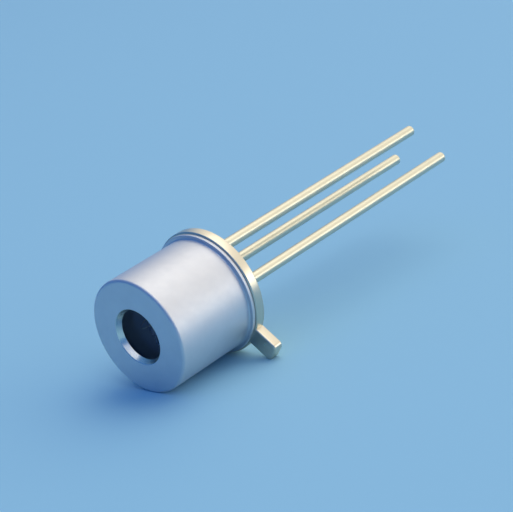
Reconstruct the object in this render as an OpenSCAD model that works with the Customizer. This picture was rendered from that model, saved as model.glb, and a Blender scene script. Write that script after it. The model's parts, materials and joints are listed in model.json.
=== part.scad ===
// Avalanche photodiode in a round metal can: windowed cap, glass-sealed header, wire leads and an index tab.
// Package frame: the optical axis is Z, the seating plane under the header is Z = 0, the window faces +Z
// and the index tab points along +X. The finished part lies on its side, as it comes to rest on a table.
// All sizes are in millimetres.

/* [Cap] */
// Outside diameter of the cap's barrel
cap_d = 4.65; // [4.5:0.05:4.8]
// Height of the cap's front face above the seating plane
package_h = 4.25; // [4.15:0.05:5.4]
// Thickness of the cap's drawn sheet
cap_wall = 0.25; // [0.2:0.01:0.3]
// Rounding of the cap's front edge, outside
cap_edge_r = 0.12; // [0.08:0.01:0.2]
// Rounding of the cap's front edge, inside
cavity_edge_r = 0.07; // [0.04:0.01:0.12]
// Clear diameter of the round opening in the cap's front face
aperture_d = 2.05; // [1.6:0.05:2.3]
// How much wider the opening is at the front than at the window, as a radius
aperture_flare = 0.12; // [0.04:0.01:0.16]
// Width of the cap's welded foot, turned out past the barrel
foot_w = 0.16; // [0.14:0.01:0.26]
// Thickness of the cap's foot
foot_t = 0.15; // [0.12:0.01:0.25]
// Bend rounding between the barrel and its foot, outside and inside
foot_bend_r = 0.06; // [0.04:0.01:0.1]

/* [Window] */
// Thickness of the flat glass window behind the opening
window_t = 0.5; // [0.3:0.05:0.6]
// Width of the glass frit between the window's rim and the cap's wall
frit_w = 0.32; // [0.2:0.02:0.4]
// Depth of the glass frit
frit_t = 0.4; // [0.3:0.02:0.6]

/* [Header] */
// Rim of the header's flange that shows past the cap's foot
flange_rim = 0.07; // [0.06:0.005:0.2]
// Thickness of the header's flange and tab
flange_t = 0.44; // [0.34:0.01:0.5]
// Edge rounding of the header's flange
flange_edge_r = 0.06; // [0.04:0.01:0.1]
// Clearance between the raised platform and the cap's wall
platform_clearance = 0.095; // [0.05:0.005:0.15]
// Height of the platform above the seating plane
platform_h = 1.1; // [0.95:0.05:1.2]
// Edge rounding of the platform
platform_edge_r = 0.08; // [0.05:0.01:0.12]
// Reach of the index tab past the flange's rim
tab_l = 1.05; // [0.8:0.05:1.3]
// Width of the index tab
tab_w = 0.8; // [0.72:0.02:1.16]
// Rounding of the tab's corners
tab_corner_r = 0.2; // [0.1:0.01:0.3]

/* [Leads] */
// Diameter of each wire lead
lead_d = 0.45; // [0.41:0.01:0.48]
// Length of the leads below the seating plane
lead_l = 13.2; // [12.7:0.1:14.5]
// Diameter of the circle through the leads
lead_circle_d = 2.54; // [2.4:0.02:2.6]
// Angle from the tab to the cathode lead, with the other leads a quarter turn on
lead_first_angle = 45; // [40:1:50]
// Trimmed chamfer at each lead's tip
lead_tip_chamfer = 0.06; // [0.02:0.01:0.1]
// Weld bead at the root of the case lead
weld_r = 0.18; // [0.08:0.01:0.2]
// Depth of the recess under the header that locates the case lead for welding
weld_recess = 0.1; // [0.05:0.01:0.2]
// Diameter of the glass bead around each insulated lead
bead_d = 1; // [0.9:0.02:1.04]
// Climb of the glass meniscus along the lead
meniscus_r = 0.08; // [0.06:0.01:0.16]
// Height of the bonding posts above the platform
post_h = 0.75; // [0.65:0.05:1]
// Diameter of the flattened head on each bonding post
post_head_d = 0.62; // [0.56:0.02:0.7]
// Thickness of the flattened head
post_head_t = 0.12; // [0.08:0.01:0.16]

/* [Detector] */
// Length of the ceramic submount, across the line of the bonding posts
submount_l = 2; // [1.8:0.05:2.3]
// Width of the ceramic submount, along the line of the bonding posts
submount_w = 1.4; // [1.2:0.02:1.44]
// Thickness of the ceramic submount
submount_t = 1.6; // [1.4:0.05:1.7]
// Bare margin round the submount's gold pad
pad_margin = 0.06; // [0.02:0.01:0.06]
// Thickness of the submount's gold pad
pad_t = 0.02; // [0.01:0.005:0.04]
// Thickness of the adhesive and solder layers
attach_t = 0.03; // [0.02:0.005:0.05]
// Width of the square detector chip
chip_w = 0.9; // [0.7:0.02:0.92]
// Thickness of the detector chip
chip_t = 0.24; // [0.2:0.02:0.3]
// Rim of solder or adhesive that shows round what it holds
attach_rim = 0.03; // [0.01:0.005:0.03]
// Diameter of the gold bond wires
wire_d = 0.03; // [0.025:0.005:0.05]
// Diameter of the pressed foot at each end of a bond wire
wire_foot_d = 0.1; // [0.08:0.01:0.14]
// Height of the pressed foot
wire_foot_h = 0.025; // [0.02:0.005:0.04]
// Rise of the bond wires' loops
wire_rise = 0.6; // [0.55:0.05:0.75]
// Distance from a bond's centre to the edge of what it is bonded to
bond_inset = 0.12; // [0.1:0.01:0.16]

/* [Hidden] */
$fn = 96;
cap_r = cap_d / 2;
cavity_r = cap_r - cap_wall;
cavity_top = package_h - cap_wall;
foot_r = cap_r + foot_w;
flange_r = foot_r + flange_rim;
platform_r = cavity_r - platform_clearance;
window_r = cavity_r - frit_w;
lead_r = lead_d / 2;
lead_circle_r = lead_circle_d / 2;
bead_r = bead_d / 2;
post_top = platform_h + post_h;

// Heights of the stack on the platform
submount_z = platform_h + attach_t;
pad_z = submount_z + submount_t;
solder_z = pad_z + pad_t;
chip_z = solder_z + attach_t;
chip_top = chip_z + chip_t;

// Angles of the leads about the optical axis, from the tab
cathode_angle = lead_first_angle;
case_angle = lead_first_angle + 90;
anode_angle = lead_first_angle + 180;
// The submount's length lies across the line of the bonding posts
submount_angle = lead_first_angle - 90;

// Rest on a table, which the front edges of the flange and of the cap and a corner of the tab touch.
// Tilt of the optical axis, window end down, from the line under the two rounded edges
edge_run = (package_h - cap_edge_r) - (flange_t - flange_edge_r);
edge_drop = (flange_r - flange_edge_r) - (cap_r - cap_edge_r);
lie_tilt = atan2(edge_drop, edge_run) + asin((flange_edge_r - cap_edge_r) / norm([edge_run, edge_drop]));
// Depth of the table below the axis, in the plane of the flange's front face
table_depth = ((flange_t - flange_edge_r) * sin(lie_tilt) + (flange_r - flange_edge_r) * cos(lie_tilt)
    + flange_edge_r - flange_t * sin(lie_tilt)) / cos(lie_tilt);
// Angle of the tab below the horizontal when its lower corner meets the table
tab_corner_x = flange_r + tab_l - tab_corner_r;
tab_corner_y = tab_w / 2 - tab_corner_r;
tab_dip = asin((table_depth - tab_corner_r) / norm([tab_corner_x, tab_corner_y]))
    - atan2(tab_corner_y, tab_corner_x);

// Sides of a bond wire, and the sections along its loop
wire_sides = 8;
wire_sections = 18;

// A point on a circle about the optical axis
function on_circle(r, angle, z) = [r * cos(angle), r * sin(angle), z];

// Lays the package on its side, window towards -Y
module laid() {
    rotate([90 + lie_tilt, 0, 0]) rotate([0, 0, -tab_dip]) children();
}

// Moves a lead or a bead from the axis to its place on the lead circle
module at_lead(angle) {
    translate(on_circle(lead_circle_r, angle, 0)) children();
}

// Turns the detector stack so that its length lies along X
module at_submount(z) {
    rotate([0, 0, submount_angle]) translate([0, 0, z]) children();
}

// Upright block centred on the axis
module block(size_x, size_y, size_z) {
    translate([-size_x / 2, -size_y / 2, 0]) cube([size_x, size_y, size_z]);
}

// Half section of a disc from the axis to r, with its upper outer edge rounded
module rounded_disc_section(r, z_low, z_high, edge_r) {
    translate([0, z_low]) square([r - edge_r, z_high - z_low]);
    translate([0, z_low]) square([r, z_high - z_low - edge_r]);
    translate([r - edge_r, z_high - edge_r]) circle(edge_r);
}

// Concave fillet in the corner at the origin, between +X and +Y
module fillet_section(r) {
    difference() {
        square(r);
        translate([r, r]) circle(r);
    }
}

// Half section of the space inside the cap, with the rounded bend where its foot turns out
module cavity_section() {
    rounded_disc_section(cavity_r, flange_t, cavity_top, cavity_edge_r);
    translate([cavity_r, flange_t]) fillet_section(foot_bend_r);
}

// Half section of the opening in the cap's front face, wider towards the front
module aperture_section() {
    aperture_r = aperture_d / 2;
    front_r = aperture_r + aperture_flare;
    polygon([[0, cavity_top], [aperture_r, cavity_top], [front_r, package_h], [0, package_h]]);
}

// Drawn cap: barrel with a rounded front edge, a round opening and a foot turned outwards
module cap() {
    color([0.80, 0.81, 0.82]) rotate_extrude() difference() {
        union() {
            rounded_disc_section(cap_r, flange_t, package_h, cap_edge_r);
            translate([0, flange_t]) square([foot_r, foot_t]);
            translate([cap_r, flange_t + foot_t]) fillet_section(foot_bend_r);
        }
        cavity_section();
        aperture_section();
    }
}

// Flat glass disc against the inside of the cap's front
module window() {
    color([0.75, 0.85, 0.90, 0.4]) translate([0, 0, cavity_top - window_t])
        cylinder(h = window_t, r = window_r);
}

// Fired glass frit between the window's rim and the cap's wall, with a hollow lower face
module window_frit() {
    color([0.55, 0.56, 0.50]) rotate_extrude() difference() {
        intersection() {
            cavity_section();
            translate([window_r, cavity_top - frit_t]) square([frit_w, frit_t]);
        }
        translate([window_r + frit_w / 2, cavity_top - frit_t]) circle(frit_w / 3);
    }
}

// Outline of the flange's tab, from the axis out to its rounded corners
module tab_outline() {
    tab_reach = flange_r + tab_l;
    translate([0, -tab_w / 2]) square([tab_reach - tab_corner_r, tab_w]);
    translate([0, -tab_corner_y]) square([tab_reach, 2 * tab_corner_y]);
    for (side = [-1, 1]) translate([tab_corner_x, side * tab_corner_y]) circle(tab_corner_r);
}

// Solid header: round flange with an index tab, a raised platform, two bores for the glass beads
// and a shallow recess under it for the case lead
module header() {
    flange_mid = flange_t / 2;
    color([0.86, 0.74, 0.45]) difference() {
        union() {
            rotate_extrude() {
                rounded_disc_section(flange_r, flange_mid, flange_t, flange_edge_r);
                translate([0, flange_t]) mirror([0, 1])
                    rounded_disc_section(flange_r, flange_mid, flange_t, flange_edge_r);
                rounded_disc_section(platform_r, flange_mid, platform_h, platform_edge_r);
            }
            linear_extrude(flange_t) tab_outline();
        }
        for (angle = [cathode_angle, anode_angle])
            at_lead(angle) translate([0, 0, -1]) cylinder(h = platform_h + 2, r = bead_r);
        at_lead(case_angle) translate([0, 0, -1]) cylinder(h = weld_recess + 1, r = lead_r + weld_r);
    }
}

// Glass seal: fills its bore and climbs the lead a little at both ends
module bead(angle) {
    color([0.16, 0.22, 0.22]) at_lead(angle) rotate_extrude() {
        translate([lead_r, 0]) square([bead_r - lead_r, platform_h]);
        translate([lead_r, platform_h]) fillet_section(meniscus_r);
        translate([lead_r, 0]) mirror([0, 1]) fillet_section(meniscus_r);
    }
}

// Straight wire from its chamfered tip up to z_top
module lead_wire(z_top) {
    tip_r = lead_r - lead_tip_chamfer;
    chamfer_z = -lead_l + lead_tip_chamfer;
    rotate_extrude()
        polygon([[0, -lead_l], [tip_r, -lead_l], [lead_r, chamfer_z], [lead_r, z_top], [0, z_top]]);
}

// Insulated lead that ends in a bonding post with a flattened head
module insulated_lead(angle) {
    head_mid = post_top - post_head_t / 2;
    color([0.88, 0.80, 0.55]) at_lead(angle) {
        lead_wire(head_mid);
        translate([0, 0, post_top - post_head_t]) cylinder(h = post_head_t, d = post_head_d);
    }
}

// Lead butt-welded into its recess under the header, with its weld bead
module case_lead() {
    color([0.88, 0.80, 0.55]) at_lead(case_angle) {
        lead_wire(weld_recess);
        cylinder(h = weld_recess, r = lead_r + weld_r);
        rotate_extrude() translate([lead_r, 0]) mirror([0, 1]) fillet_section(weld_r);
    }
}

// Adhesive layer under the submount
module submount_adhesive() {
    color([0.62, 0.58, 0.50]) at_submount(platform_h)
        block(submount_l + 2 * attach_rim, submount_w + 2 * attach_rim, attach_t);
}

// Ceramic block that lifts and insulates the chip
module submount() {
    color([0.93, 0.93, 0.90]) at_submount(submount_z) block(submount_l, submount_w, submount_t);
}

// Gold film on top of the submount
module submount_pad() {
    color([0.88, 0.74, 0.40]) at_submount(pad_z)
        block(submount_l - 2 * pad_margin, submount_w - 2 * pad_margin, pad_t);
}

// Solder layer under the chip
module chip_solder() {
    color([0.70, 0.66, 0.52]) at_submount(solder_z)
        block(chip_w + 2 * attach_rim, chip_w + 2 * attach_rim, attach_t);
}

// Square silicon chip, centred on the optical axis
module detector_chip() {
    color([0.16, 0.18, 0.28]) at_submount(chip_z) block(chip_w, chip_w, chip_t);
}

// Point on a bond wire's loop, at turn degrees of a half ellipse that leaves both feet upright
function loop_point(start, finish, turn) =
    start + (finish - start) * (1 - cos(turn)) / 2 + [0, 0, wire_rise * sin(turn)];

// Direction of the loop at turn degrees
function loop_direction(start, finish, turn) =
    let (d = (finish - start) * sin(turn) / 2 + [0, 0, wire_rise * cos(turn)]) d / norm(d);

// Ring of points round centre, square to direction, which lies in the upright plane through across
function ring(centre, direction, across, r) =
    let (up = cross(direction, across))
    [for (i = [0 : wire_sides - 1]) let (a = 360 * i / wire_sides)
        centre + r * (cos(a) * across + sin(a) * up)];

// Gold wire between two upright pressed feet
module bond_wire(start, finish) {
    span = finish - start;
    across = cross([0, 0, 1], span / norm(span));
    side = across / norm(across);
    lift = [0, 0, wire_foot_h];
    pressed_r = wire_foot_d / 2;
    turns = [for (i = [0 : wire_sections]) 180 * i / wire_sections];
    rings = concat(
        [ring(start, [0, 0, 1], side, pressed_r), ring(start + lift, [0, 0, 1], side, pressed_r)],
        [for (turn = turns) ring(lift + loop_point(start, finish, turn), loop_direction(start, finish, turn),
            side, wire_d / 2)],
        [ring(finish + lift, [0, 0, -1], side, pressed_r), ring(finish, [0, 0, -1], side, pressed_r)]);
    last = len(rings) - 1;
    walls = [for (k = [0 : last - 1], i = [0 : wire_sides - 1])
        let (j = (i + 1) % wire_sides, low = k * wire_sides, high = low + wire_sides)
        [low + i, low + j, high + j, high + i]];
    near_end = [for (i = [wire_sides - 1 : -1 : 0]) i];
    far_end = [for (i = [0 : wire_sides - 1]) last * wire_sides + i];
    color([0.90, 0.76, 0.38]) polyhedron(points = [for (r = rings) each r],
        faces = [for (f = concat([near_end, far_end], walls)) [for (i = [len(f) - 1 : -1 : 0]) f[i]]]);
}

// Wire from the chip's top contact to the anode post
module anode_wire() {
    bond_wire(on_circle(chip_w / 2 - bond_inset, anode_angle, chip_top),
        on_circle(lead_circle_r, anode_angle, post_top));
}

// Wire from the free end of the submount's pad to the cathode post
module cathode_wire() {
    bond_wire(on_circle(submount_l / 2 - pad_margin - bond_inset, submount_angle, solder_z),
        on_circle(lead_circle_r, cathode_angle, post_top));
}

laid() header();
laid() bead(cathode_angle);  // cathode_bead
laid() bead(anode_angle);  // anode_bead
laid() insulated_lead(cathode_angle);  // cathode_lead
laid() insulated_lead(anode_angle);  // anode_lead
laid() case_lead();
laid() submount_adhesive();
laid() submount();
laid() submount_pad();
laid() chip_solder();
laid() detector_chip();
laid() anode_wire();
laid() cathode_wire();
laid() cap();
laid() window();
laid() window_frit();
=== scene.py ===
"""Avalanche photodiode in a windowed metal can, lying on its side: fine meshes, finishes, stage and camera.

Each piece is drawn in the package frame, in millimetres: the optical axis is Z, the seating plane under
the header is Z = 0, the window faces +Z and the index tab points along +X.
"""
import json
import math

import bmesh
import bpy
from mathutils import Matrix, Quaternion, Vector


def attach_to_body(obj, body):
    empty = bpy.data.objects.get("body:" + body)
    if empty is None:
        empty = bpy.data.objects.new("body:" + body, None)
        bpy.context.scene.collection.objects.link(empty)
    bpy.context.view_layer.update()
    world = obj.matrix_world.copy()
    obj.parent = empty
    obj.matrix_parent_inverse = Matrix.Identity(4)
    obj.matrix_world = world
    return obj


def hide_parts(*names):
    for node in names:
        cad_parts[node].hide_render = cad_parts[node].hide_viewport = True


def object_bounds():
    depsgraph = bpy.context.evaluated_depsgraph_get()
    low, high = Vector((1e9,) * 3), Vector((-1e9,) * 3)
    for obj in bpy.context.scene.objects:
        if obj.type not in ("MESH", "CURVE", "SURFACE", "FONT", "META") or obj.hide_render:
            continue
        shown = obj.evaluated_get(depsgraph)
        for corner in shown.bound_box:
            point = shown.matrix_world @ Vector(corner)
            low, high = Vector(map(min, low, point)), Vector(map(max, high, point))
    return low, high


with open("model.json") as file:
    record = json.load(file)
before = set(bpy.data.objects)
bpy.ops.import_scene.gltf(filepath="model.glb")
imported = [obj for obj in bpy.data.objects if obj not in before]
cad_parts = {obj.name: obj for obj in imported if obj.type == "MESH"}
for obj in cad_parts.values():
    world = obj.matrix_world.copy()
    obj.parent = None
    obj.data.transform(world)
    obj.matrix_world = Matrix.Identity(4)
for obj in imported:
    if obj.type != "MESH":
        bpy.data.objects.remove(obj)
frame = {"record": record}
cad_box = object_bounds()
mounts = {mount["name"]: mount for mount in frame["record"]["mounts"]}

MM = 0.001
UP = Vector((0, 0, 1))

# Cap, in millimetres
CAP_R = 2.325
PACKAGE_H = 4.25
CAP_WALL = 0.25
CAP_EDGE_R = 0.12
CAVITY_EDGE_R = 0.07
APERTURE_R = 1.025
APERTURE_FLARE = 0.12
APERTURE_EDGE_R = 0.02
BURR_R = 0.015
FOOT_W = 0.16
FOOT_T = 0.15
FOOT_BEND_R = 0.06
FOOT_EDGE_R = 0.03
CAVITY_R = CAP_R - CAP_WALL
CAVITY_TOP = PACKAGE_H - CAP_WALL
FLARE_R = APERTURE_R + APERTURE_FLARE
FOOT_R = CAP_R + FOOT_W

# Window and its seal
WINDOW_T = 0.5
FRIT_W = 0.32
FRIT_T = 0.4
FRIT_HOLLOW_R = FRIT_W / 3
WINDOW_R = CAVITY_R - FRIT_W
GLASS_EDGE_R = 0.03

# Header
FLANGE_RIM = 0.07
FLANGE_R = FOOT_R + FLANGE_RIM
FLANGE_T = 0.44
FLANGE_EDGE_R = 0.06
PLATFORM_GAP = 0.095
PLATFORM_R = CAVITY_R - PLATFORM_GAP
PLATFORM_H = 1.1
PLATFORM_EDGE_R = 0.08
TAB_L = 1.05
TAB_REACH = FLANGE_R + TAB_L
TAB_W = 0.8
TAB_CORNER_R = 0.2

# Leads and their seals
LEAD_R = 0.225
LEAD_L = 13.2
LEAD_CIRCLE_R = 1.27
LEAD_TIP_CHAMFER = 0.06
TIP_FLAT_SHARE = 0.7
TIP_FLAT_RISE = 0.004
TIP_DOME_RISE = 0.016
TIP_EDGE_IN = 0.012
TIP_EDGE_DROP = 0.02
WELD_R = 0.18
WELD_RECESS = 0.1
BEAD_R = 0.5
MENISCUS_R = 0.08
POST_H = 0.75
POST_TOP = PLATFORM_H + POST_H
POST_HEAD_R = 0.31
POST_HEAD_T = 0.12
POST_EDGE_R = 0.035
CATHODE_ANGLE = math.radians(45)
CASE_ANGLE = math.radians(135)
ANODE_ANGLE = math.radians(225)

# Detector stack
SUBMOUNT_ANGLE = math.radians(-45)
SUBMOUNT_L = 2.0
SUBMOUNT_W = 1.4
SUBMOUNT_T = 1.6
SUBMOUNT_EDGE_R = 0.015
PAD_MARGIN = 0.06
PAD_T = 0.02
PAD_EDGE_R = 0.006
ATTACH_T = 0.03
ATTACH_RIM = 0.03
ATTACH_EDGE_R = 0.012
CHIP_W = 0.9
CHIP_T = 0.24
CHIP_EDGE_R = 0.006
SUBMOUNT_Z = PLATFORM_H + ATTACH_T
PAD_Z = SUBMOUNT_Z + SUBMOUNT_T
SOLDER_Z = PAD_Z + PAD_T
CHIP_Z = SOLDER_Z + ATTACH_T
CHIP_TOP = CHIP_Z + CHIP_T

# Films on the chip's top, which are left to its finish
FILM_DEPTH = 0.004
ACTIVE_R = 0.25
CONTACT_INNER_R = 0.265
CONTACT_OUTER_R = 0.33
SCRIBE_W = 0.04
BOND_INSET = 0.12
BOND_PAD_R = 0.075

# Bond wires
WIRE_R = 0.015
WIRE_NECK_R = 1.5 * WIRE_R
WIRE_FOOT_R = 0.05
WIRE_FOOT_H = 0.025
WIRE_SHOULDER_R = 0.8 * WIRE_FOOT_R
WIRE_SHOULDER_H = 0.85 * WIRE_FOOT_H
WIRE_RISE = 0.6

# Mesh fineness
SEGMENTS = 144
LEAD_SEGMENTS = 48
WIRE_SEGMENTS = 16
WIRE_SECTIONS = 40
ARC_STEPS = 8
CAP_EDGE_STEPS = 16
BURR_STEPS = 3
BLOCK_EDGE_STEPS = 3
SUPPORT = 0.012
LONG_STRETCH = 4 * SUPPORT
SHARP_ANGLE = math.radians(35)
COORDINATES = "package_mm"


def package_matrix():
    """Matrix from the package frame in millimetres to the row frame in metres, read from the mounts."""
    seat = Vector(mounts["seating_plane"]["pos_m"])
    window_way = -Vector(mounts["seating_plane"]["axis"]).normalized()
    cathode = Vector(mounts["cathode_lead_wire"]["pos_m"]) - seat
    cathode_way = (cathode - cathode.dot(window_way) * window_way).normalized()
    tab_way = Matrix.Rotation(-CATHODE_ANGLE, 3, window_way) @ cathode_way
    axes = Matrix((tab_way, window_way.cross(tab_way), window_way)).transposed().to_4x4()
    return Matrix.Translation(seat) @ axes @ Matrix.Scale(MM, 4)


PACKAGE = package_matrix()


# Mesh building

def arc(centre, r, start, end, steps=ARC_STEPS):
    """Points along a circular arc from start to end, in degrees."""
    turns = [math.radians(start + (end - start) * i / steps) for i in range(steps + 1)]
    return [(centre[0] + r * math.cos(turn), centre[1] + r * math.sin(turn)) for turn in turns]


def on_circle(r, angle, z=0.0):
    """A point on a circle about the optical axis."""
    return Vector((r * math.cos(angle), r * math.sin(angle), z))


def supported(outline):
    """The closed outline with points near both ends of each long stretch, so that flats shade flat."""
    points = []
    for here, there in zip(outline, outline[1:] + outline[:1]):
        a, b = Vector(here), Vector(there)
        points.append(a)
        if (b - a).length > LONG_STRETCH:
            step = (b - a).normalized() * SUPPORT
            points += [a + step, b - step]
    return points


def stitch(bm, below, above):
    """Faces between two rings of vertices, either of which may be a single point."""
    count = max(len(below), len(above))
    if count == 1:
        return
    for i in range(count):
        j = (i + 1) % count
        corners = [below[i % len(below)], below[j % len(below)]]
        corners += [above[j % len(above)], above[i % len(above)]]
        bm.faces.new(list(dict.fromkeys(corners)))


def stitch_all(bm, loops):
    """Faces between each ring of vertices and the next."""
    for below, above in zip(loops, loops[1:]):
        stitch(bm, below, above)


def round_loop(bm, r, z, centre=(0, 0), segments=SEGMENTS):
    """A ring of vertices about an upright axis through centre, or one vertex on that axis."""
    if r == 0:
        return [bm.verts.new((centre[0], centre[1], z))]
    turns = [2 * math.pi * i / segments for i in range(segments)]
    return [bm.verts.new((centre[0] + r * math.cos(t), centre[1] + r * math.sin(t), z)) for t in turns]


def lathe(outline, centre=(0, 0), segments=SEGMENTS):
    """Turned solid: a closed outline of (radius, height) points, which may run along the axis."""
    bm = bmesh.new()
    loops = [round_loop(bm, r, z, centre, segments) for r, z in supported(outline)]
    stitch_all(bm, loops + loops[:1])
    return bm


def fill(bm, *loops):
    """Flat face inside the first loop and outside the others."""
    edges = [bm.edges.get((a, b)) or bm.edges.new((a, b))
             for loop in loops for a, b in zip(loop, loop[1:] + loop[:1])]
    bmesh.ops.triangle_fill(bm, use_beauty=True, edges=edges)


def block(size, z, edge_r):
    """Block with rounded edges that stands at z on the axis, its length across the line of the posts."""
    bm = bmesh.new()
    bmesh.ops.create_cube(bm, size=1)
    centre = Matrix.Translation((0, 0, z + size[2] / 2))
    bm.transform(Matrix.Rotation(SUBMOUNT_ANGLE, 4, "Z") @ centre @ Matrix.Diagonal((*size, 1)))
    bmesh.ops.bevel(bm, geom=bm.edges[:], offset=edge_r, segments=BLOCK_EDGE_STEPS, profile=0.5,
                    affect="EDGES")
    return bm


def add_piece(name, bm, material, slot, *nodes):
    """Makes the mesh an object in the row frame that replaces the CAD nodes and has the given finish. The
    slot is not used.
    """
    loose = [v for v in bm.verts if not v.link_faces]
    bmesh.ops.delete(bm, geom=loose, context="VERTS")
    bmesh.ops.recalc_face_normals(bm, faces=bm.faces)
    layer = bm.verts.layers.float_vector.new(COORDINATES)
    for vertex in bm.verts:
        vertex[layer] = vertex.co
    bm.transform(PACKAGE)
    mesh = bpy.data.meshes.new(name)
    bm.to_mesh(mesh)
    bm.free()
    mesh.shade_smooth()
    mesh.set_sharp_from_angle(angle=SHARP_ANGLE)
    mesh.materials.append(material)
    piece = bpy.data.objects.new(name, mesh)
    bpy.context.scene.collection.objects.link(piece)
    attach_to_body(piece, "root")
    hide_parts(*nodes)


# Finishes

class Finish:
    """A Principled material with short calls for its nodes. Patterns run in the package's millimetres."""

    def __init__(self, name, **constants):
        self.material = bpy.data.materials.new(name)
        self.material.use_nodes = True
        self.tree = self.material.node_tree
        self.shader = self.tree.nodes["Principled BSDF"]
        for socket, value in constants.items():
            self.set(socket.replace("_", " "), value)

    def set(self, socket, value):
        """Sets or links one input of the shader."""
        self.put(self.shader.inputs[socket], value)

    def put(self, socket, value):
        """Links the socket to another node's output, or sets it to a constant."""
        if isinstance(value, bpy.types.NodeSocket):
            self.tree.links.new(value, socket)
        else:
            socket.default_value = value

    def node(self, kind, settings=(), **inputs):
        """Adds a node. Settings are (name, value) pairs, and inputs go by name or by number, as in i0."""
        made = self.tree.nodes.new(kind)
        for name, value in settings:
            setattr(made, name, value)
        for name, value in inputs.items():
            numbered = name[0] == "i" and name[1:].isdigit()
            key = int(name[1:]) if numbered else name.replace("_", " ")
            self.put(made.inputs[key], value)
        return made

    def position(self, stretch=(1, 1, 1)):
        """The place on the part, in millimetres, times stretch along each axis."""
        place = self.node("ShaderNodeAttribute", [("attribute_name", COORDINATES)]).outputs["Vector"]
        scaled = self.node("ShaderNodeVectorMath", [("operation", "MULTIPLY")], i0=place, i1=stretch)
        return scaled.outputs["Vector"]

    def across(self):
        """The place on the part as seen along the optical axis."""
        return self.position((1, 1, 0))

    def height(self):
        """Height above the seating plane, in millimetres."""
        return self.node("ShaderNodeSeparateXYZ", Vector=self.position()).outputs["Z"]

    def distance(self, place, centre=(0, 0, 0)):
        """Distance of a place from a centre, in millimetres."""
        apart = self.node("ShaderNodeVectorMath", [("operation", "DISTANCE")], i0=place, i1=centre)
        return apart.outputs["Value"]

    def noise(self, per_mm, detail=3.0, stretch=(1, 1, 1)):
        """Smooth noise from 0 to 1, with about per_mm waves to the millimetre."""
        return self.node("ShaderNodeTexNoise", Vector=self.position(stretch), Scale=per_mm,
                         Detail=detail).outputs["Fac"]

    def ramp(self, value, low, high):
        """The value mapped from 0 to 1 onto low to high."""
        return self.node("ShaderNodeMapRange", Value=value, To_Min=low, To_Max=high).outputs["Result"]

    def blend(self, share, colour_a, colour_b):
        """Colour from a to b by share."""
        mix = self.node("ShaderNodeMix", [("data_type", "RGBA")], i0=share, i6=colour_a, i7=colour_b)
        return mix.outputs[2]

    def over(self, socket, share, value):
        """Lays a colour or a number over what feeds one input of the shader, by share."""
        below = self.shader.inputs[socket].links[0].from_socket
        if isinstance(value, tuple):
            self.set(socket, self.blend(share, below, value))
        else:
            mix = self.node("ShaderNodeMix", [("data_type", "FLOAT")], i0=share, i2=below, i3=value)
            self.set(socket, mix.outputs[0])

    def math(self, operation, a, b=0.0):
        """One step of arithmetic on one or two numbers."""
        return self.node("ShaderNodeMath", [("operation", operation)], i0=a, i1=b).outputs[0]

    def under(self, value, limit):
        """1 where the value is less than the limit, and 0 elsewhere."""
        return self.math("LESS_THAN", value, limit)

    def past(self, value, limit):
        """1 where the value is more than the limit, and 0 elsewhere."""
        return self.math("GREATER_THAN", value, limit)

    def both(self, a, b):
        """1 where both masks are 1."""
        return self.math("MULTIPLY", a, b)

    def either(self, a, b):
        """1 where one of the masks is 1."""
        return self.math("MAXIMUM", a, b)

    def relief(self, height, depth_mm, normal=None):
        """Surface relief of the given depth."""
        inputs = {"Height": height, "Distance": depth_mm * MM, "Strength": 1.0}
        if normal:
            inputs["Normal"] = normal
        return self.node("ShaderNodeBump", **inputs).outputs["Normal"]


def colour(r, g, b):
    """Linear colour with full alpha."""
    return (r, g, b, 1.0)


ROUGHNESS_SPREAD = 0.06
MARKS_PER_MM = 24.0
# Painted shade: dark grey laid inside the cap so that the cavity behind the window looks dark
PAINTED_SHADE_INSIDE = colour(0.08, 0.09, 0.11)
# Pale warm metal for the flared wall of the opening, partly a painted highlight that brightens its crescent
FLARE_PALE_HIGHLIGHT = colour(0.92, 0.88, 0.76)
FLARE_ROUGHNESS = 0.27
BUBBLES_PER_MM = 14.0
BUBBLE_SHARE = 0.16
SHIELD_METAL = colour(0.72, 0.74, 0.78)
CONTACT_GOLD = colour(0.88, 0.68, 0.32)


def plated_metal(name, pale, dark, roughness, grain_mm, marks_along=MARKS_PER_MM):
    """Satin plating: mottling, fine grain and marks, drawn out along the axis if marks_along is low."""
    finish = Finish(name, Metallic=1.0)
    finish.set("Base Color", finish.blend(finish.noise(per_mm=1.6, detail=4.0), dark, pale))
    mottle = finish.noise(per_mm=5.0, detail=4.0)
    finish.set("Roughness", finish.ramp(mottle, roughness - ROUGHNESS_SPREAD, roughness + ROUGHNESS_SPREAD))
    grain = finish.relief(finish.noise(per_mm=60.0, detail=2.0), grain_mm)
    marks = finish.noise(per_mm=1.0, detail=3.0, stretch=(MARKS_PER_MM, MARKS_PER_MM, marks_along))
    finish.set("Normal", finish.relief(marks, grain_mm, grain))
    return finish


def nickel():
    """Satin outside; in the flared opening a paler colour, partly a painted highlight; inside, painted
    shade that darkens the cavity.
    """
    finish = plated_metal("satin_nickel", pale=colour(0.69, 0.705, 0.745), dark=colour(0.63, 0.64, 0.675),
                          roughness=0.54, grain_mm=0.0010, marks_along=0.8)
    radius = finish.distance(finish.across())
    height = finish.height()
    inside = finish.both(finish.under(radius, CAVITY_R + 0.5 * CAP_WALL),
                         finish.under(height, CAVITY_TOP + BURR_R))
    flare = finish.both(finish.under(radius, FLARE_R), finish.past(height, CAVITY_TOP))
    # Painted shade: the inside of the cap is darkened
    finish.over("Base Color", inside, PAINTED_SHADE_INSIDE)
    # Partly painted highlight: the flared wall is made paler and warmer than the nickel
    finish.over("Base Color", flare, FLARE_PALE_HIGHLIGHT)
    finish.over("Roughness", flare, FLARE_ROUGHNESS)
    return finish.material


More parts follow.
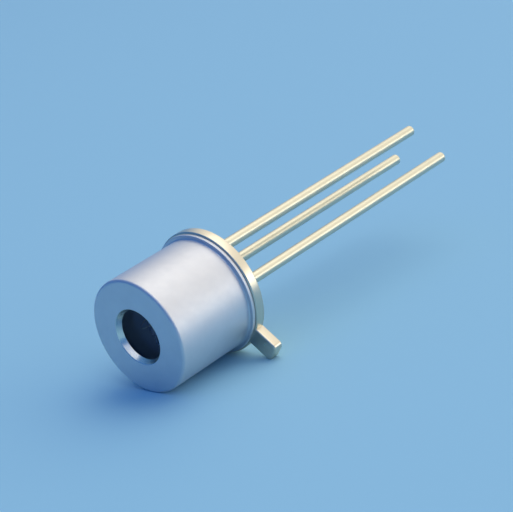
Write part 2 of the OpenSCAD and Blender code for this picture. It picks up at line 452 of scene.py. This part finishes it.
def gold_plate():
    """Pale gold on the header."""
    return plated_metal("gold_plate", pale=colour(0.69, 0.65, 0.54), dark=colour(0.65, 0.60, 0.49),
                        roughness=0.30, grain_mm=0.0005).material


def lead_gold():
    """Pale gold on the drawn wire of the leads."""
    return plated_metal("lead_gold", pale=colour(0.69, 0.665, 0.535), dark=colour(0.63, 0.605, 0.48),
                        roughness=0.38, grain_mm=0.0006, marks_along=1.2).material


def gold_film():
    """Bonding gold on the submount, and the bond wires."""
    return plated_metal("gold_film", pale=colour(0.90, 0.68, 0.30), dark=colour(0.82, 0.58, 0.23),
                        roughness=0.26, grain_mm=0.0010).material


def solder():
    """Dull gold-tin solder under the chip."""
    return plated_metal("solder", pale=colour(0.52, 0.50, 0.42), dark=colour(0.40, 0.38, 0.32),
                        roughness=0.38, grain_mm=0.004).material


def seal_glass():
    """Dark fired glass with a few pale bubbles."""
    finish = Finish("seal_glass", Roughness=0.1, IOR=1.52, Coat_Weight=0.3)
    cells = finish.node("ShaderNodeTexVoronoi", Vector=finish.position(), Scale=BUBBLES_PER_MM)
    bubble = finish.under(cells.outputs["Distance"], BUBBLE_SHARE)
    smoke = finish.blend(finish.noise(per_mm=6.0), colour(0.012, 0.018, 0.018), colour(0.03, 0.042, 0.04))
    finish.set("Base Color", finish.blend(bubble, smoke, colour(0.09, 0.11, 0.10)))
    finish.set("Normal", finish.relief(finish.noise(per_mm=8.0), depth_mm=0.004))
    return finish.material


def window_glass():
    """Flat glass with a blue coating against reflections, which lets the lamps light what is behind it."""
    finish = Finish("window_glass", Transmission_Weight=1.0, IOR=1.3, Roughness=0.0)
    finish.set("Specular Tint", colour(0.3, 0.4, 1.0))
    finish.set("Base Color", colour(0.68, 0.76, 0.95))
    path = finish.node("ShaderNodeLightPath")
    clear = finish.node("ShaderNodeBsdfTransparent", Color=colour(0.68, 0.74, 0.9))
    mix = finish.node("ShaderNodeMixShader", Fac=path.outputs["Is Shadow Ray"])
    output = finish.tree.nodes["Material Output"]
    finish.put(mix.inputs[1], finish.shader.outputs["BSDF"])
    finish.put(mix.inputs[2], clear.outputs["BSDF"])
    finish.put(output.inputs["Surface"], mix.outputs["Shader"])
    return finish.material


def grainy(finish, dark, pale, mottle, roughness, patches, grain, depth_mm):
    """Mottled surface: mottle, patches and grain are the noises of its colour, roughness and relief."""
    finish.set("Base Color", finish.blend(mottle, dark, pale))
    finish.set("Roughness", finish.ramp(patches, *roughness))
    finish.set("Normal", finish.relief(grain, depth_mm))
    return finish.material


def frit():
    """Fired sealing glass, grey-green and slightly grainy."""
    finish = Finish("frit", IOR=1.5)
    return grainy(finish, dark=colour(0.10, 0.11, 0.09), pale=colour(0.2, 0.21, 0.17),
                  mottle=finish.noise(per_mm=18.0, detail=5.0), roughness=(0.25, 0.5),
                  patches=finish.noise(per_mm=25.0), grain=finish.noise(per_mm=22.0), depth_mm=0.006)


def adhesive():
    """Silver-filled adhesive."""
    finish = Finish("adhesive", Metallic=0.35)
    return grainy(finish, dark=colour(0.24, 0.21, 0.16), pale=colour(0.42, 0.39, 0.33),
                  mottle=finish.noise(per_mm=30.0, detail=4.0), roughness=(0.45, 0.75),
                  patches=finish.noise(per_mm=40.0), grain=finish.noise(per_mm=26.0), depth_mm=0.008)


def alumina():
    """Fired white ceramic with a fine grain."""
    finish = Finish("alumina", IOR=1.6)
    return grainy(finish, dark=colour(0.70, 0.70, 0.66), pale=colour(0.84, 0.84, 0.81),
                  mottle=finish.noise(per_mm=24.0, detail=6.0), roughness=(0.5, 0.75),
                  patches=finish.noise(per_mm=12.0), grain=finish.noise(per_mm=70.0), depth_mm=0.002)


def silicon():
    """Coated chip: dark blue active disc, gold ring and bond pad, metal light shield, grey sawn sides."""
    finish = Finish("silicon", IOR=2.0)
    place = finish.across()
    from_axis = finish.distance(place)
    from_bond = finish.distance(place, on_circle(CHIP_W / 2 - BOND_INSET, ANODE_ANGLE))
    on_top = finish.past(finish.height(), CHIP_TOP - FILM_DEPTH)
    active = finish.under(from_axis, ACTIVE_R)
    ring = finish.both(finish.past(from_axis, CONTACT_INNER_R), finish.under(from_axis, CONTACT_OUTER_R))
    pad = finish.under(from_bond, BOND_PAD_R)
    gold = finish.both(finish.either(ring, pad), on_top)
    square = finish.node("ShaderNodeVectorRotate", [("rotation_type", "Z_AXIS")], Vector=place,
                         Angle=-SUBMOUNT_ANGLE)
    sides = finish.node("ShaderNodeSeparateXYZ", Vector=square.outputs["Vector"])
    from_middle = finish.math("MAXIMUM", finish.math("ABSOLUTE", sides.outputs["X"]),
                              finish.math("ABSOLUTE", sides.outputs["Y"]))
    shield = finish.both(finish.under(from_middle, CHIP_W / 2 - SCRIBE_W),
                         finish.past(from_axis, CONTACT_OUTER_R))
    shield = finish.both(shield, on_top)
    sawn = finish.blend(finish.noise(per_mm=40.0), colour(0.10, 0.10, 0.11), colour(0.17, 0.17, 0.18))
    coated = finish.blend(active, colour(0.06, 0.06, 0.09), colour(0.012, 0.02, 0.075))
    surface = finish.blend(shield, finish.blend(on_top, sawn, coated), SHIELD_METAL)
    finish.set("Base Color", finish.blend(gold, surface, CONTACT_GOLD))
    metal = finish.either(gold, shield)
    rough = finish.either(metal, finish.math("SUBTRACT", 1.0, on_top))
    finish.set("Metallic", metal)
    finish.set("Roughness", finish.ramp(rough, low=0.08, high=0.35))
    return finish.material


# Pieces

def add_cap():
    """Drawn cap: barrel, rounded front edge, flared opening, and the foot welded to the flange."""
    foot_top = FLANGE_T + FOOT_T
    foot_edge = FOOT_R - FOOT_EDGE_R
    outline = (
        arc((foot_edge, FLANGE_T + FOOT_EDGE_R), FOOT_EDGE_R, -90, 0)
        + arc((foot_edge, foot_top - FOOT_EDGE_R), FOOT_EDGE_R, 0, 90)
        + arc((CAP_R + FOOT_BEND_R, foot_top + FOOT_BEND_R), FOOT_BEND_R, 270, 180)
        + arc((CAP_R - CAP_EDGE_R, PACKAGE_H - CAP_EDGE_R), CAP_EDGE_R, 0, 90, CAP_EDGE_STEPS)
        + [(FLARE_R + APERTURE_EDGE_R, PACKAGE_H),
           (FLARE_R - 0.5 * APERTURE_EDGE_R, PACKAGE_H - APERTURE_EDGE_R)]
        + arc((APERTURE_R + BURR_R, CAVITY_TOP + BURR_R), BURR_R, 180, 270, BURR_STEPS)
        + arc((CAVITY_R - CAVITY_EDGE_R, CAVITY_TOP - CAVITY_EDGE_R), CAVITY_EDGE_R, 90, 0)
        + arc((CAVITY_R + FOOT_BEND_R, FLANGE_T + FOOT_BEND_R), FOOT_BEND_R, 180, 270)
    )
    add_piece("cap_shell", lathe(outline), nickel(), "nickel", "cap")


def add_window():
    """Flat glass disc behind the opening, and the fired frit round its rim."""
    low = CAVITY_TOP - WINDOW_T
    edge = WINDOW_R - GLASS_EDGE_R
    disc = (
        [(0, low)]
        + arc((edge, low + GLASS_EDGE_R), GLASS_EDGE_R, -90, 0)
        + arc((edge, CAVITY_TOP - GLASS_EDGE_R), GLASS_EDGE_R, 0, 90)
        + [(0, CAVITY_TOP)]
    )
    add_piece("window_disc", lathe(disc), window_glass(), "window_glass", "window")
    frit_low = CAVITY_TOP - FRIT_T
    ring = (
        arc((WINDOW_R + FRIT_W / 2, frit_low), FRIT_HOLLOW_R, 180, 0)
        + [(CAVITY_R, frit_low)]
        + arc((CAVITY_R - CAVITY_EDGE_R, CAVITY_TOP - CAVITY_EDGE_R), CAVITY_EDGE_R, 0, 90)
        + [(WINDOW_R, CAVITY_TOP), (WINDOW_R, frit_low)]
    )
    add_piece("window_seal", lathe(ring), frit(), "frit", "window_frit")


def flange_loop(bm, inset, z):
    """One loop round the flange and its tab, drawn in by inset, at height z."""
    r = FLANGE_R - inset
    root = math.degrees(math.asin((TAB_W / 2 - inset) / r))
    corner_x, corner_y = TAB_REACH - TAB_CORNER_R, TAB_W / 2 - TAB_CORNER_R
    corner_r = TAB_CORNER_R - inset
    points = (
        arc((0, 0), r, root, 360 - root, SEGMENTS)
        + arc((corner_x, -corner_y), corner_r, -90, 0)
        + arc((corner_x, corner_y), corner_r, 0, 90)
    )
    return [bm.verts.new((x, y, z)) for x, y in points]


def add_header():
    """Header: flange and tab with rolled edges, raised platform, two bores and the case lead's recess."""
    bm = bmesh.new()
    edge = FLANGE_EDGE_R
    rim = arc((-edge, edge), edge, -90, 0) + arc((-edge, FLANGE_T - edge), edge, 0, 90)
    rims = [flange_loop(bm, -x, z) for x, z in rim]
    step_edge = PLATFORM_R - PLATFORM_EDGE_R
    step = [(PLATFORM_R, FLANGE_T), (PLATFORM_R, FLANGE_T + SUPPORT)]
    step += arc((step_edge, PLATFORM_H - PLATFORM_EDGE_R), PLATFORM_EDGE_R, 0, 90)
    steps = [round_loop(bm, r, z) for r, z in step]
    stitch_all(bm, rims)
    stitch_all(bm, steps)
    fill(bm, rims[-1], steps[0])
    bores_low, bores_high = [], []
    for angle in (CATHODE_ANGLE, ANODE_ANGLE):
        centre = on_circle(LEAD_CIRCLE_R, angle)
        low, high = (round_loop(bm, BEAD_R, z, centre, LEAD_SEGMENTS) for z in (0, PLATFORM_H))
        stitch(bm, low, high)
        bores_low.append(low)
        bores_high.append(high)
    centre = on_circle(LEAD_CIRCLE_R, CASE_ANGLE)
    recess_r = LEAD_R + WELD_R
    recess = [(recess_r, 0), (recess_r, WELD_RECESS), (0, WELD_RECESS)]
    recess_loops = [round_loop(bm, r, z, centre, LEAD_SEGMENTS) for r, z in recess]
    stitch_all(bm, recess_loops)
    fill(bm, rims[0], recess_loops[0], *bores_low)
    fill(bm, steps[-1], *bores_high)
    add_piece("header_base", bm, gold_plate(), "gold_plate", "header")


def lead_tip():
    """Outline of a lead's free end, from the axis out: sheared flat, slightly domed, with a broken edge."""
    tip_r = LEAD_R - LEAD_TIP_CHAMFER
    return [
        (0, -LEAD_L),
        (tip_r * TIP_FLAT_SHARE, -LEAD_L + TIP_FLAT_RISE),
        (tip_r, -LEAD_L + TIP_DOME_RISE),
        (LEAD_R - TIP_EDGE_IN, -LEAD_L + LEAD_TIP_CHAMFER - TIP_EDGE_DROP),
        (LEAD_R, -LEAD_L + LEAD_TIP_CHAMFER),
    ]


def add_leads():
    """Two insulated leads with bonding posts, their glass seals, and the case lead with its weld."""
    gold, glass = lead_gold(), seal_glass()
    head_low = POST_TOP - POST_HEAD_T
    head_edge = POST_HEAD_R - POST_EDGE_R
    post = (
        lead_tip()
        + [(LEAD_R, head_low)]
        + arc((head_edge, head_low + POST_EDGE_R), POST_EDGE_R, -90, 0)
        + arc((head_edge, POST_TOP - POST_EDGE_R), POST_EDGE_R, 0, 90)
        + [(0, POST_TOP)]
    )
    seal = (
        arc((LEAD_R + MENISCUS_R, -MENISCUS_R), MENISCUS_R, 180, 90)
        + [(BEAD_R, 0), (BEAD_R, PLATFORM_H)]
        + arc((LEAD_R + MENISCUS_R, PLATFORM_H + MENISCUS_R), MENISCUS_R, 270, 180)
    )
    for name, angle in (("cathode", CATHODE_ANGLE), ("anode", ANODE_ANGLE)):
        centre = on_circle(LEAD_CIRCLE_R, angle)
        add_piece(f"{name}_pin", lathe(post, centre, LEAD_SEGMENTS), gold, "lead_gold", f"{name}_lead")
        add_piece(f"{name}_seal", lathe(seal, centre, LEAD_SEGMENTS), glass, "seal_glass", f"{name}_bead")
    weld = (
        lead_tip()
        + arc((LEAD_R + WELD_R, -WELD_R), WELD_R, 180, 90)
        + [(LEAD_R + WELD_R, WELD_RECESS), (0, WELD_RECESS)]
    )
    centre = on_circle(LEAD_CIRCLE_R, CASE_ANGLE)
    add_piece("case_pin", lathe(weld, centre, LEAD_SEGMENTS), gold, "lead_gold", "case_lead")


def bond_wire(start, finish):
    """Gold wire on a half ellipse between two pressed feet, each a low rounded button."""
    bm = bmesh.new()
    span = finish - start
    side = UP.cross(span).normalized()
    foot = [
        (0, 0),
        (WIRE_FOOT_R, 0),
        (WIRE_FOOT_R, 0.5 * WIRE_FOOT_H),
        (WIRE_SHOULDER_R, WIRE_SHOULDER_H),
        (WIRE_NECK_R, WIRE_FOOT_H),
    ]
    rings = [(start + z * UP, UP, r) for r, z in foot]
    for i in range(WIRE_SECTIONS + 1):
        turn = math.pi * i / WIRE_SECTIONS
        place = start + span * (1 - math.cos(turn)) / 2 + WIRE_RISE * math.sin(turn) * UP
        way = span * math.sin(turn) / 2 + WIRE_RISE * math.cos(turn) * UP
        rings.append((place + WIRE_FOOT_H * UP, way.normalized(), WIRE_R))
    rings += [(finish + z * UP, -UP, r) for r, z in reversed(foot)]
    loops = []
    for place, way, r in rings:
        up = way.cross(side)
        turns = [2 * math.pi * i / WIRE_SEGMENTS for i in range(WIRE_SEGMENTS if r else 1)]
        loops.append([bm.verts.new(place + r * (math.cos(t) * side + math.sin(t) * up)) for t in turns])
    stitch_all(bm, loops)
    return bm


def add_detector():
    """Ceramic submount with its gold film, the chip in its solder, and the two bond wires."""
    gold = gold_film()
    rim, margin = 2 * ATTACH_RIM, 2 * PAD_MARGIN
    glue = block((SUBMOUNT_L + rim, SUBMOUNT_W + rim, ATTACH_T), PLATFORM_H, ATTACH_EDGE_R)
    add_piece("submount_glue", glue, adhesive(), "adhesive", "submount_adhesive")
    submount = block((SUBMOUNT_L, SUBMOUNT_W, SUBMOUNT_T), SUBMOUNT_Z, SUBMOUNT_EDGE_R)
    add_piece("submount_block", submount, alumina(), "alumina", "submount")
    film = block((SUBMOUNT_L - margin, SUBMOUNT_W - margin, PAD_T), PAD_Z, PAD_EDGE_R)
    add_piece("submount_film", film, gold, "gold_film", "submount_pad")
    attach = block((CHIP_W + rim, CHIP_W + rim, ATTACH_T), SOLDER_Z, ATTACH_EDGE_R)
    add_piece("chip_attach", attach, solder(), "solder", "chip_solder")
    die = block((CHIP_W, CHIP_W, CHIP_T), CHIP_Z, CHIP_EDGE_R)
    add_piece("detector_die", die, silicon(), "silicon", "detector_chip")
    anode_wire = bond_wire(on_circle(CHIP_W / 2 - BOND_INSET, ANODE_ANGLE, CHIP_TOP),
                           on_circle(LEAD_CIRCLE_R, ANODE_ANGLE, POST_TOP))
    add_piece("anode_bond", anode_wire, gold, "gold_film", "anode_wire")
    cathode_wire = bond_wire(on_circle(SUBMOUNT_L / 2 - PAD_MARGIN - BOND_INSET, SUBMOUNT_ANGLE, SOLDER_Z),
                             on_circle(LEAD_CIRCLE_R, CATHODE_ANGLE, POST_TOP))
    add_piece("cathode_bond", cathode_wire, gold, "gold_film", "cathode_wire")


# Stage and light

FLOOR_COLOUR = colour(0.32, 0.61, 0.78)
FLOOR_ROUGHNESS = 0.9
FLOOR_SIZE = 3.0
SKY_BRIGHT_WAY = (0.22, 0.88, 0.42)
SKY_STOPS = (
    (0.0, colour(0.036, 0.15, 0.45)),
    (0.40, colour(0.12, 0.28, 0.54)),
    (0.66, colour(1.0, 0.95, 0.865)),
)
SKY_STRENGTH = 1.14
LAMP_COLOUR = (1.0, 0.95, 0.865)

# Each lamp's name, place and width by height in millimetres, power in watts, and turn about its beam
LAMPS = (
    ("key_lamp", (28, 75, 231), (280, 150), 0.128, 0.0),
    ("side_lamp", (190, 146, 36), (150, 72), 0.064, 0.0),
    ("strip_lamp", (120, -72, 195), (52, 320), 0.056, math.radians(26)),
)

# Camera, as fitted to the photograph
PHOTO_WIDTH = 513
FOCAL_PX = 1796.381
SENSOR = 36.0
TARGET = Vector((-2.605, 5.0, -0.802)) * MM
DISTANCE = 74.361 * MM
AZIMUTH = math.radians(46.653)
ELEVATION = math.radians(17.915)
ROLL = math.radians(-12.116)


def add_floor():
    """Plain pale blue floor under the lowest point of the part."""
    bm = bmesh.new()
    bmesh.ops.create_grid(bm, x_segments=1, y_segments=1, size=FLOOR_SIZE / 2)
    bm.transform(Matrix.Translation((0, 0, cad_box[0].z)))
    mesh = bpy.data.meshes.new("floor")
    bm.to_mesh(mesh)
    bm.free()
    finish = Finish("floor", Roughness=FLOOR_ROUGHNESS, Base_Color=FLOOR_COLOUR)
    mesh.materials.append(finish.material)
    floor = bpy.data.objects.new("floor", mesh)
    bpy.context.scene.collection.objects.link(floor)


def add_sky():
    """Sky that is white behind the part, on the leads' side, and blue in front of it."""
    world = bpy.data.worlds.new("studio")
    bpy.context.scene.world = world
    world.use_nodes = True
    nodes, links = world.node_tree.nodes, world.node_tree.links
    way = nodes.new("ShaderNodeTexCoord")
    turn = nodes.new("ShaderNodeVectorMath")
    turn.operation = "DOT_PRODUCT"
    turn.inputs[1].default_value = SKY_BRIGHT_WAY
    sky = nodes.new("ShaderNodeValToRGB")
    stops = sky.color_ramp.elements
    for index, (place, tint) in enumerate(SKY_STOPS):
        stop = stops[index] if index < len(stops) else stops.new(place)
        stop.position, stop.color = place, tint
    links.new(way.outputs["Generated"], turn.inputs[0])
    links.new(turn.outputs["Value"], sky.inputs["Fac"])
    links.new(sky.outputs["Color"], nodes["Background"].inputs["Color"])
    nodes["Background"].inputs["Strength"].default_value = SKY_STRENGTH


def add_lamp(name, place_mm, size_mm, power, roll):
    """Soft lamp, width by height, that points at the part's origin, turned by roll about its beam."""
    lamp = bpy.data.lights.new(name, "AREA")
    lamp.shape = "RECTANGLE"
    lamp.size, lamp.size_y = (side * MM for side in size_mm)
    lamp.energy = power
    lamp.color = LAMP_COLOUR
    holder = bpy.data.objects.new(name, lamp)
    holder.location = Vector(place_mm) * MM
    holder.rotation_mode = "QUATERNION"
    aim = (-holder.location).to_track_quat("-Z", "Y")
    holder.rotation_quaternion = aim @ Quaternion((0, 0, 1), roll)
    bpy.context.scene.collection.objects.link(holder)


def add_light():
    """Sky, a wide lamp overhead, a low one at the right behind, and a strip on the window's side."""
    add_sky()
    for lamp in LAMPS:
        add_lamp(*lamp)


def add_camera():
    """Camera at the photograph's angle: right, up and back are its axes, turned by the roll."""
    back = Vector((math.sin(AZIMUTH) * math.cos(ELEVATION), -math.cos(AZIMUTH) * math.cos(ELEVATION),
                   math.sin(ELEVATION)))
    level = Vector((math.cos(AZIMUTH), math.sin(AZIMUTH), 0))
    upright = back.cross(level)
    right = math.cos(ROLL) * level + math.sin(ROLL) * upright
    up = math.cos(ROLL) * upright - math.sin(ROLL) * level
    data = bpy.data.cameras.new("camera")
    data.sensor_width = SENSOR
    data.lens = SENSOR * FOCAL_PX / PHOTO_WIDTH
    data.clip_start = 0.1 * DISTANCE
    data.clip_end = 10 * FLOOR_SIZE
    camera = bpy.data.objects.new("camera", data)
    turn = Matrix((right, up, back)).transposed().to_4x4()
    camera.matrix_world = Matrix.Translation(TARGET + DISTANCE * back) @ turn
    bpy.context.scene.collection.objects.link(camera)
    bpy.context.scene.camera = camera


add_cap()
add_window()
add_header()
add_leads()
add_detector()
add_floor()
add_light()
add_camera()
bpy.context.scene.view_settings.view_transform = "Standard"
